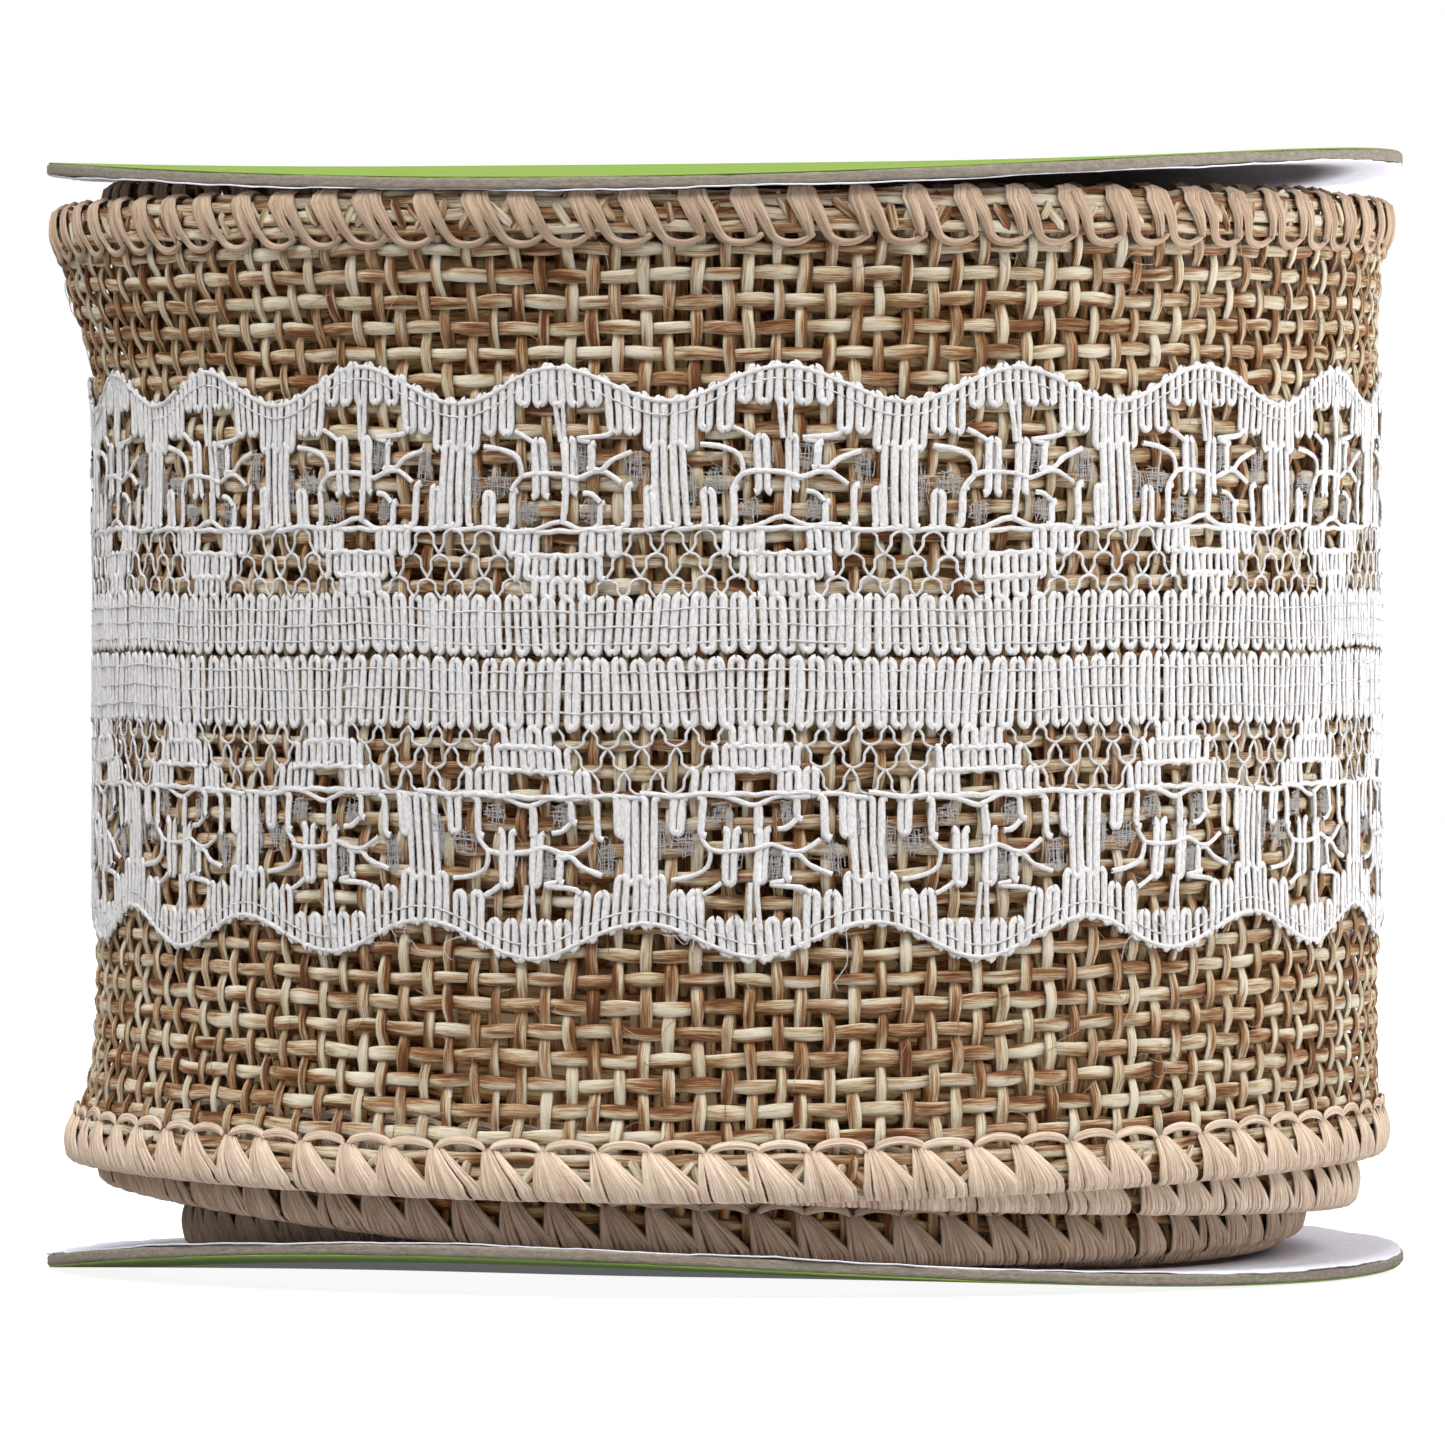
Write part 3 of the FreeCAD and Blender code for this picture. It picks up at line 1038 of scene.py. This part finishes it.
def kraft_material():
    """Spiral-wound kraft tube: brown fibre with a slanted seam."""
    nodes = Nodes("kraft_tube", 0.85)
    place = nodes.millimetres()
    x, y, z = nodes.split(place)
    turn = nodes.math("DIVIDE", nodes.math("ARCTAN2", y, x), 2 * math.pi)
    climb = nodes.math("ADD", nodes.math("DIVIDE", z, 34.0), turn)
    saw = nodes.math("ABSOLUTE", nodes.math("SUBTRACT", nodes.math("FRACT", climb), 0.5))
    seam = nodes.ramp(saw, (0.015, BLACK), (0.03, WHITE))
    grain = nodes.noise(place, 1.8, 6.0, 0.65)
    base = nodes.ramp(grain, (0.3, (150, 112, 74)), (0.7, (188, 150, 108)))
    colour = nodes.mix(seam, linear((96, 66, 40)), base)
    height = nodes.math("ADD", nodes.math("MULTIPLY", grain, 0.4), seam)
    return nodes.finish(colour, height, 0.5, 0.0003)


def cloudy(nodes, scale, detail, dark, light, strength, distance):
    """Finishes a material that drifts between two colours."""
    cloud = nodes.noise(nodes.millimetres(), scale, detail)
    colour = nodes.ramp(cloud, (0.3, dark), (0.7, light))
    return nodes.finish(colour, cloud, strength, distance)


def liner_material():
    """White uncoated paper."""
    nodes = Nodes("liner_paper", 0.85)
    return cloudy(nodes, 2.5, 5.0, (214, 213, 226), (236, 236, 246), 0.25, 0.0001)


def glue_material():
    """Cloudy hot-melt."""
    nodes = Nodes("hot_melt", 0.3)
    return cloudy(nodes, 1.1, 4.0, (206, 190, 150), (236, 226, 196), 0.4, 0.0003)


def tape_material():
    """Clear tape, slightly cloudy."""
    nodes = Nodes("clear_tape", 0.25)
    nodes.shader.inputs["Alpha"].default_value = 0.16
    return cloudy(nodes, 0.6, 4.0, (232, 230, 220), (250, 249, 244), 0.1, 0.0001)


# ---- discs and core


def revolved(name, profile, material, shift, count=360):
    """Turns a closed outline of (radius, height) about the axis. shift moves each point."""
    profile = np.array(profile, float)
    angle = np.arange(count)[:, None] * 360 / count
    radius, height = shift(angle, *(np.broadcast_to(line, (count, len(line))) for line in profile.T))
    points = from_axis(angle, radius, height).reshape(-1, 3)
    return make_object(name, points, grid_faces(count, len(profile), True, True), material)


def ring_outline(inner, outer, low, high):
    """A flat ring's outline with a softened outer edge."""
    radii = np.linspace(inner, outer - 0.12, 22)
    shares = ((0.03, 0.1), (0.0, 0.325), (0.02, 0.5), (0.0, 0.675), (0.03, 0.9))
    edge = [(outer - inset, low + share * (high - low)) for inset, share in shares]
    return [(r, low) for r in radii] + edge + [(r, high) for r in radii[::-1]]


def ragged(angle, seed, reach):
    """Small irregular changes around a cut edge, from waves that never line up."""
    a = np.radians(angle)
    total = 0
    for order, number in enumerate((7, 19, 43, 83, 131, 167), start=1):
        total = total + np.sin(number * a + seed * number) / order
    return reach * total


def disc_layer(name, low, high, outer, upper, material, seed, tear, fray):
    """One layer of a disc, bent, with an edge torn by tear and frayed up and down by fray."""

    def shift(angle, radius, height):
        near_edge = np.clip((radius - outer + 1.0) / 1.0, 0, 1)
        radius = radius + ragged(angle, seed, tear) * near_edge
        bend = disc_warp(angle, radius, upper)
        if not upper:
            bend = np.maximum(bend, 0)
        return radius, height + bend + near_edge * ragged(angle * 1.7, seed, fray)

    return revolved(name, ring_outline(BORE_RADIUS, outer, low, high), material, shift)


def build_discs():
    """Both discs: label outside, board, and liner inside."""
    board, liner = board_material(), liner_material()
    for side, upper in (("lower", False), ("upper", True)):
        label = label_material(f"{side}_label", 0.55 if upper else 0.855)
        layers = (
            ("label", 0.0, PAPER, 0.1, label, 0.012, 0.0, "label_paper"),
            ("board", PAPER, PAPER + BOARD, 0.0, board, 0.05, 0.02, "grey_board"),
            ("liner", PAPER + BOARD, DISC, 0.02, liner, 0.09, 0.055, "liner_paper"),
        )
        for number, (layer, low, high, inset, material, tear, fray, slot) in enumerate(layers):
            bottom, top = (OVERALL_HEIGHT - high, OVERALL_HEIGHT - low) if upper else (low, high)
            seed = number * 2.3 + upper
            outer = DISC_RADIUS - inset
            name = f"{side}_{layer}_sheet"
            made = disc_layer(name, bottom, top, outer, upper, material, seed, tear, fray)
            tie(made, "spool", f"{side}_disc_{layer}")


def build_core():
    """Materials for the tube and the start tape, and lumpy glue beads."""
    for name, material in (("core_tube", kraft_material()), ("start_tape", tape_material())):
        node = frame["nodes"][name]
        node.data.materials.clear()
        node.data.materials.append(material)
    glue = glue_material()
    for side, up in (("lower", 1), ("upper", -1)):
        low, high = box_mm(f"{side}_glue_bead")
        wall, leg = high[0], high[2] - low[2]
        base = low[2] if side == "lower" else high[2]
        outline = [(wall, base)]
        for turn in np.radians(np.linspace(0, 90, 7)):
            outline.append((wall - leg * math.cos(turn), base + up * leg * math.sin(turn)))

        def shift(angle, radius, height, wall=wall, base=base):
            swell = 0.8 + 0.14 * ragged(angle, 3.1, 1.0)
            return wall + (radius - wall) * swell, base + (height - base) * swell

        made = revolved(f"{side}_glue_line", outline, glue, shift, count=180)
        tie(made, "spool", f"{side}_glue_bead")


# ---- inner turns


def place_inner(name, part, material, middle, depth, layer):
    """Winds a layer of an inner turn onto the roll, fixed to the spool."""
    angle = part["points"][:, 0] / MM_PER_DEGREE
    points = wrap(part["points"], middle, depth(angle))
    made = make_object(name, points, part["faces"], material, part["thread"])
    tie(made, "spool", f"inner_turns_{layer}")


def build_second_turn(burlap, lower_thread, shaded_upper_thread, white, rng):
    """The whole turn under the outer one, made as the strip before it and moved on by a turn."""
    start = TIP_ANGLE - 720
    onward = np.array([360 * MM_PER_DEGREE, 0, 0])

    def place(name, part, material, layer):
        part["points"] = part["points"] + onward
        place_inner(f"second_turn_{name}", part, material, second_middle, second_depth, layer)

    # The burlap given here is the warmer, darker copy, with painted shade.
    for number in range(4):
        first = start + 90 * number
        part = weave(first, first + 90, EDGE, STRIP_WIDTH - EDGE, rng, sides=6, steps=3)
        place(f"burlap_{number + 1}", part, burlap, "burlap")
    # The upper hem's thread is the darker copy, with painted shade.
    stitching = (("lower_stitching", False, lower_thread), ("upper_stitching", True, shaded_upper_thread))
    for layer, upper, thread in stitching:
        place(layer, overlock(start, start + 360, upper, rng, fine=False), thread, layer)
    stretch = (TIP_ANGLE - HINGES[0] + 15) / 2
    for number in (2, 1):
        first = TIP_ANGLE - 360 - stretch * number
        place(f"lace_{3 - number}", lace(first, first + stretch, rng), white, "lace")


def build_deep_turns(burlap, thread, rng):
    """The edges that show of turns further in, and the closed pack behind them."""
    start = TIP_ANGLE - 360
    for name, middle, depth, cloth in (
        ("third_turn", middle_line(THIRD_HEIGHT), third_depth, 5.0),
        ("settled_turn", settled_middle, even(SETTLED_DEPTH), 8.5),
    ):
        # burlap here is the warmer, darker copy, with painted shade.
        part = weave(start, start + 360, EDGE, cloth, rng, sides=6, steps=3)
        place_inner(f"{name}_burlap", part, burlap, middle, depth, "burlap")
        # thread here is the darker copy of the overlock thread, with painted shade for hems deep under the outer
        # turn.
        part = overlock(start, start + 360, False, rng, fine=False)
        place_inner(f"{name}_stitching", part, thread, middle, depth, "lower_stitching")
    part = overlock(start, start + 360, True, rng, fine=False)
    middle, depth = middle_line(LEANING_HEIGHT), even(2 * PITCH)
    place_inner("leaning_turn_stitching", part, thread, middle, depth, "upper_stitching")
    build_pack(burlap)


def build_pack(burlap):
    """The closely wound turns further in, as one ribbed and woven surface."""
    # burlap here is the warmer, darker copy, with painted shade.
    heights = np.arange(DISC + 0.1, STRIP_WIDTH + 3.0, ROW / 2)
    count = round(360 / (COLUMN / 2 / MM_PER_DEGREE) / 2) * 2
    angle = np.arange(count)[:, None] * 360 / count
    weaving = alternate(np.arange(count))[:, None] * alternate(np.arange(len(heights)))
    depth = np.where(heights < PACK_FOOT_HEIGHT, PACK_FOOT_DEPTH, PACK_DEPTH)
    radius = ROLL_RADIUS - depth + 0.3 * weaving
    height = np.maximum(heights, disc_top(angle, radius) + 0.05)
    points = from_axis(angle, radius, height).reshape(-1, 3)
    values = (angle * MM_PER_DEGREE, 0.8 * weaving, 0.37 + 0.01 * heights)
    thread = np.stack([np.broadcast_to(value, radius.shape) for value in values], axis=-1)
    faces = grid_faces(count, len(heights), True, False)
    made = make_object("inner_pack", points, faces, burlap, thread.reshape(-1, 3))
    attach(made, "spool")


# ---- outer turn and tail


def build_end_tape():
    """Clear tape over the free end, stepping down onto the turn underneath."""
    angle = np.linspace(TIP_ANGLE - TAPE_BEFORE_TIP, TIP_ANGLE + TAPE_PAST_TIP, 60)
    across = LACE_MIDDLE + np.linspace(-TAPE_HEIGHT / 2, TAPE_HEIGHT / 2, 30)
    x, y = np.meshgrid(angle * MM_PER_DEGREE, across, indexing="ij")
    past = 1 / (1 + np.exp(-4 * (angle[:, None] - TIP_ANGLE - 0.8)))
    wrinkle = 0.05 * np.sin(x * 3) * np.sin(y * 2.2)
    z = TAPE_LIFT - (PITCH - 0.05) * past - wrinkle
    sheets = [np.stack([x, y, z + rise], axis=-1).reshape(-1, 3) for rise in (0, TAPE_THICKNESS)]
    points = wrap(np.concatenate(sheets), outer_middle, 0)
    rows, columns = x.shape
    face = grid_faces(rows, columns, False, False)
    number = np.arange(x.size).reshape(rows, columns)
    rim = [number[:-1, 0], number[-1, :-1], number[:0:-1, -1], number[0, :0:-1]]
    rim = np.concatenate(rim)
    following = np.roll(rim, -1)
    wall = np.stack([rim, following, following + x.size, rim + x.size], axis=1)
    faces = np.concatenate([face[:, ::-1], face + x.size, wall])
    made = make_object("end_tape_film", points, faces, tape_material())
    tie(made, TAIL_BODIES[-1], "end_tape")


def build_outer_strip(burlap, lower_thread, shaded_upper_thread, white, rng):
    """The outer turn and the tail: weave, hems and lace."""
    start, end = TIP_ANGLE - 360, TIP_ANGLE
    cloth = weave(start, end, EDGE, STRIP_WIDTH - EDGE, rng, sides=10, steps=4)
    folds = fold_yarns(start, end, rng)
    hairs = stray_fibres(start, end, 1400, rng)
    lay_outer("burlap", merge([cloth, folds, hairs]), burlap)
    lay_outer("lower_stitching", overlock(start, end, False, rng), lower_thread)
    # The upper hem's thread is the darker copy, with painted shade where the upper disc shades it.
    lay_outer("upper_stitching", overlock(start, end, True, rng), shaded_upper_thread)
    lay_outer("lace", lace(start, end, rng), white)
    build_end_tape()


# ---- scene


def shown_and_cast(tree, socket, shown, cast):
    """Makes a glow look one strength to the camera and light the scene with another."""
    seen = tree.nodes.new("ShaderNodeLightPath").outputs["Is Camera Ray"]
    strength = tree.nodes.new("ShaderNodeMapRange")
    tree.links.new(seen, strength.inputs["Value"])
    strength.inputs["To Min"].default_value = cast
    strength.inputs["To Max"].default_value = shown
    tree.links.new(strength.outputs["Result"], socket)


def build_surroundings():
    """A white background that lights the scene a little less than it shows."""
    world = bpy.data.worlds.new("surroundings")
    world.use_nodes = True
    background = world.node_tree.nodes["Background"]
    background.inputs["Color"].default_value = (1, 1, 1, 1)
    shown_and_cast(world.node_tree, background.inputs["Strength"], 1.0, 0.22)
    bpy.context.scene.world = world


def build_floor():
    """A pale floor, just under the lower label so that the two faces don't meet."""
    nodes = Nodes("pale_floor", 0.9)
    place = nodes.node("ShaderNodeTexCoord").outputs["Object"]
    grain = nodes.noise(place, 3.0, 2.0)
    colour = nodes.ramp(grain, (0.3, (166, 166, 166)), (0.7, (172, 172, 172)))
    nodes.shader.inputs["Emission Color"].default_value = (1, 1, 1, 1)
    shown_and_cast(nodes.tree, nodes.shader.inputs["Emission Strength"], 0.9, 0.1)
    bpy.ops.mesh.primitive_plane_add(size=FLOOR_SIZE)
    floor = bpy.context.object
    floor.name = "floor"
    floor.location.z = -FLOOR_DROP
    floor.data.materials.append(nodes.finish(colour))


def build_lamps():
    """Soft lights that the camera doesn't see. The back one would glare on the upper label."""
    for name, place, aim, size, power in LAMPS:
        data = bpy.data.lights.new(name, "AREA")
        data.size = size
        data.energy = power
        lamp = bpy.data.objects.new(name, data)
        lamp.visible_camera = False
        lamp.visible_glossy = name != "back_light"
        lamp.location = place
        lamp.rotation_euler = (Vector(aim) - Vector(place)).to_track_quat("-Z", "Y").to_euler()
        bpy.context.scene.collection.objects.link(lamp)


def build_camera():
    """A level view of the front from middle height, and plain screen colours."""
    scene = bpy.context.scene
    data = bpy.data.cameras.new("camera")
    data.lens = LENS
    data.sensor_width = 36
    data.clip_start = 0.05
    data.shift_y = CAMERA_SHIFT
    camera = bpy.data.objects.new("camera", data)
    camera.location = (CAMERA_SIDESTEP, -CAMERA_DISTANCE, OVERALL_HEIGHT / 2 * MM)
    camera.rotation_euler = (math.radians(90), 0, 0)
    scene.collection.objects.link(camera)
    scene.camera = camera
    scene.view_settings.view_transform = "Standard"


def main():
    rng = np.random.default_rng(7)
    burlap = burlap_material("burlap_yarn", (1, 1, 1))
    # Painted shade: a warmer, slightly darker copy of the burlap for the turns inside, which are seen only in
    # shadow between the outer yarns.
    shaded_deep_burlap = burlap_material("deeper_burlap_yarn_painted_shade", (1.04, 0.94, 0.8))
    thread = thread_material("overlock_thread", (1, 1, 1))
    # Painted shade: a darker copy of the overlock thread for the upper hems, which lie in the upper disc's shadow,
    # and for the hems deep under the outer turn.
    shaded_thread = thread_material("painted_shade_overlock_thread", (0.87, 0.84, 0.81))
    white = lace_material()
    build_discs()
    build_core()
    build_outer_strip(burlap, thread, shaded_thread, white, rng)
    build_second_turn(shaded_deep_burlap, thread, shaded_thread, white, rng)
    build_deep_turns(shaded_deep_burlap, shaded_thread, rng)
    build_floor()
    build_surroundings()
    build_lamps()
    build_camera()


main()
